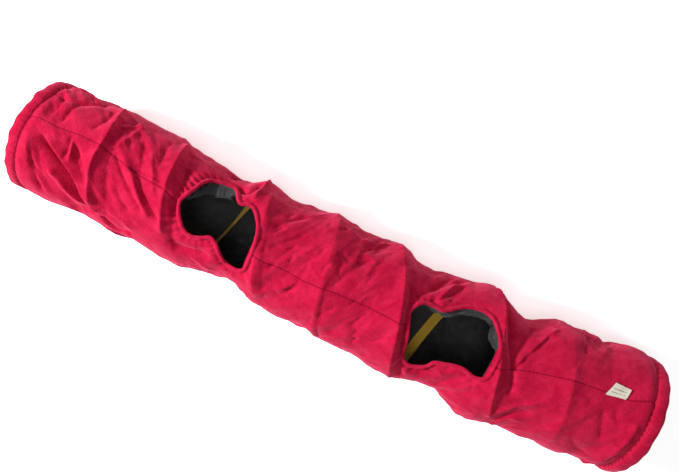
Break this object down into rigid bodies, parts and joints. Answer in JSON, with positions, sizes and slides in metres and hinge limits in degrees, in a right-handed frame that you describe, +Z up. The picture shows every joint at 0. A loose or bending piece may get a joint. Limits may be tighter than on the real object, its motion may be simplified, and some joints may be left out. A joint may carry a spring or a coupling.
{
  "type": "pet agility tunnel",
  "caption": "Collapsible fabric tunnel for small pets: plush cover, slick lining, spring-wire coil between them, two round peepholes on top and a hemmed ring at each open end.",
  "frame": {"origin": "middle of the tunnel's length, below its axis, at the height of the floor it lies on", "axes": "+X along the tunnel towards the end with the label, +Y across towards the label's side, +Z up through the peepholes"},
  "size_m": [1.3, 0.242, 0.24],
  "materials": {
    "plush_cover": "short soft plush, matt with a pale sheen at the edges",
    "lining": "thin crinkled woven nylon, half gloss",
    "wire_tape": "woven tape, matt",
    "spring_wire": "drawn bright spring wire",
    "crimp": "plain pressed sleeve",
    "label": "woven satin, matt"
  },
  "bodies": {
    "bay_1_left": {"cover_bay_1": "plush_cover", "spring_wire_turn_1": "spring_wire", "left_end_hem": "plush_cover", "left_end_ring": "spring_wire", "left_crimp_sleeve": "crimp"},
    "bay_1_right": {"lining_bay_1": "lining", "wire_tape_turn_1": "wire_tape", "cover_flex_band_1": "plush_cover"},
    "bay_2_left": {"cover_bay_2": "plush_cover", "spring_wire_turn_2": "spring_wire", "lining_flex_band_1": "lining"},
    "bay_2_right": {"lining_bay_2": "lining", "wire_tape_turn_2": "wire_tape", "cover_flex_band_2": "plush_cover"},
    "bay_3_left": {"cover_bay_3": "plush_cover", "spring_wire_turn_3": "spring_wire", "lining_flex_band_2": "lining", "left_peephole_hem": "plush_cover"},
    "bay_3_right": {"lining_bay_3": "lining", "wire_tape_turn_3": "wire_tape", "cover_flex_band_3": "plush_cover"},
    "bay_4_left": {"cover_bay_4": "plush_cover", "spring_wire_turn_4": "spring_wire", "lining_flex_band_3": "lining"},
    "bay_4_right": {"lining_bay_4": "lining", "wire_tape_turn_4": "wire_tape", "cover_flex_band_4": "plush_cover"},
    "bay_5_left": {"cover_bay_5": "plush_cover", "spring_wire_turn_5": "spring_wire", "lining_flex_band_4": "lining"},
    "bay_5_right": {"lining_bay_5": "lining", "wire_tape_turn_5": "wire_tape", "cover_flex_band_5": "plush_cover"},
    "bay_6_left": {"cover_bay_6": "plush_cover", "spring_wire_turn_6": "spring_wire", "lining_flex_band_5": "lining", "right_peephole_hem": "plush_cover"},
    "bay_6_right": {"lining_bay_6": "lining", "wire_tape_turn_6": "wire_tape", "cover_flex_band_6": "plush_cover"},
    "bay_7_left": {"cover_bay_7": "plush_cover", "spring_wire_turn_7": "spring_wire", "lining_flex_band_6": "lining"},
    "bay_7_right": {"lining_bay_7": "lining", "wire_tape_turn_7": "wire_tape", "cover_flex_band_7": "plush_cover"},
    "bay_8_left": {"cover_bay_8": "plush_cover", "spring_wire_turn_8": "spring_wire", "lining_flex_band_7": "lining", "side_label": "label"},
    "bay_8_right": {"lining_bay_8": "lining", "wire_tape_turn_8": "wire_tape", "right_end_hem": "plush_cover", "right_end_ring": "spring_wire", "right_crimp_sleeve": "crimp"}
  },
  "joints": [
    {"name": "fold_1", "type": "slide", "parent": "bay_1_right", "child": "bay_1_left", "axis": [1, 0, 0], "range_m": [0, 0.126], "stiffness_N_per_m": 40, "springref_m": -0.02, "deforming": ["cover_bay_1", "lining_bay_1", "spring_wire_turn_1", "wire_tape_turn_1"]},
    {"name": "fold_2", "type": "slide", "parent": "bay_2_right", "child": "bay_2_left", "axis": [1, 0, 0], "range_m": [0, 0.126], "stiffness_N_per_m": 40, "springref_m": -0.02, "deforming": ["cover_bay_2", "lining_bay_2", "spring_wire_turn_2", "wire_tape_turn_2"]},
    {"name": "fold_3", "type": "slide", "parent": "bay_3_right", "child": "bay_3_left", "axis": [1, 0, 0], "range_m": [0, 0.1701], "stiffness_N_per_m": 40, "springref_m": -0.02, "deforming": ["cover_bay_3", "lining_bay_3", "spring_wire_turn_3", "wire_tape_turn_3", "left_peephole_hem"]},
    {"name": "fold_4", "type": "slide", "parent": "bay_4_right", "child": "bay_4_left", "axis": [1, 0, 0], "range_m": [0, 0.126], "stiffness_N_per_m": 40, "springref_m": -0.02, "deforming": ["cover_bay_4", "lining_bay_4", "spring_wire_turn_4", "wire_tape_turn_4"]},
    {"name": "fold_5", "type": "slide", "parent": "bay_5_left", "child": "bay_5_right", "axis": [-1, 0, 0], "range_m": [0, 0.126], "stiffness_N_per_m": 40, "springref_m": -0.02, "deforming": ["cover_bay_5", "lining_bay_5", "spring_wire_turn_5", "wire_tape_turn_5"]},
    {"name": "fold_6", "type": "slide", "parent": "bay_6_left", "child": "bay_6_right", "axis": [-1, 0, 0], "range_m": [0, 0.1701], "stiffness_N_per_m": 40, "springref_m": -0.02, "deforming": ["cover_bay_6", "lining_bay_6", "spring_wire_turn_6", "wire_tape_turn_6", "right_peephole_hem"]},
    {"name": "fold_7", "type": "slide", "parent": "bay_7_left", "child": "bay_7_right", "axis": [-1, 0, 0], "range_m": [0, 0.126], "stiffness_N_per_m": 40, "springref_m": -0.02, "deforming": ["cover_bay_7", "lining_bay_7", "spring_wire_turn_7", "wire_tape_turn_7"]},
    {"name": "fold_8", "type": "slide", "parent": "bay_8_left", "child": "bay_8_right", "axis": [-1, 0, 0], "range_m": [0, 0.126], "stiffness_N_per_m": 40, "springref_m": -0.02, "deforming": ["cover_bay_8", "lining_bay_8", "spring_wire_turn_8", "wire_tape_turn_8", "side_label"]},
    {"name": "bend_1", "type": "hinge", "parent": "bay_2_left", "child": "bay_1_right", "pos_m": [-0.479, 0, 0.119], "axis": [0, 0, 1], "range_deg": [-4, 4], "stiffness_Nm_per_rad": 0.4, "deforming": ["cover_flex_band_1", "lining_flex_band_1"]},
    {"name": "bend_2", "type": "hinge", "parent": "bay_3_left", "child": "bay_2_right", "pos_m": [-0.334, 0, 0.119], "axis": [0, 0, 1], "range_deg": [-4, 4], "stiffness_Nm_per_rad": 0.4, "deforming": ["cover_flex_band_2", "lining_flex_band_2"]},
    {"name": "bend_3", "type": "hinge", "parent": "bay_4_left", "child": "bay_3_right", "pos_m": [-0.145, 0, 0.119], "axis": [0, 0, 1], "range_deg": [-4, 4], "stiffness_Nm_per_rad": 0.4, "deforming": ["cover_flex_band_3", "lining_flex_band_3"]},
    {"name": "bend_4", "type": "hinge", "parent": "bay_4_right", "child": "bay_5_left", "pos_m": [0, 0, 0.119], "axis": [0, 0, 1], "range_deg": [-4, 4], "stiffness_Nm_per_rad": 0.4, "deforming": ["cover_flex_band_4", "lining_flex_band_4"]},
    {"name": "bend_5", "type": "hinge", "parent": "bay_5_right", "child": "bay_6_left", "pos_m": [0.145, 0, 0.119], "axis": [0, 0, 1], "range_deg": [-4, 4], "stiffness_Nm_per_rad": 0.4, "deforming": ["cover_flex_band_5", "lining_flex_band_5"]},
    {"name": "bend_6", "type": "hinge", "parent": "bay_6_right", "child": "bay_7_left", "pos_m": [0.334, 0, 0.119], "axis": [0, 0, 1], "range_deg": [-4, 4], "stiffness_Nm_per_rad": 0.4, "deforming": ["cover_flex_band_6", "lining_flex_band_6"]},
    {"name": "bend_7", "type": "hinge", "parent": "bay_7_right", "child": "bay_8_left", "pos_m": [0.479, 0, 0.119], "axis": [0, 0, 1], "range_deg": [-4, 4], "stiffness_Nm_per_rad": 0.4, "deforming": ["cover_flex_band_7", "lining_flex_band_7"]}
  ],
  "couplings": [
    {"joint": "bend_1", "follows": "bend_4", "ratio": -1},
    {"joint": "bend_2", "follows": "bend_4", "ratio": -1},
    {"joint": "bend_3", "follows": "bend_4", "ratio": -1},
    {"joint": "bend_5", "follows": "bend_4", "ratio": 1},
    {"joint": "bend_6", "follows": "bend_4", "ratio": 1},
    {"joint": "bend_7", "follows": "bend_4", "ratio": 1},
    {"joint": "fold_1", "follows": "fold_5", "ratio": 1},
    {"joint": "fold_2", "follows": "fold_5", "ratio": 1},
    {"joint": "fold_3", "follows": "fold_5", "ratio": 1.35},
    {"joint": "fold_4", "follows": "fold_5", "ratio": 1},
    {"joint": "fold_6", "follows": "fold_5", "ratio": 1.35},
    {"joint": "fold_7", "follows": "fold_5", "ratio": 1},
    {"joint": "fold_8", "follows": "fold_5", "ratio": 1}
  ]
}
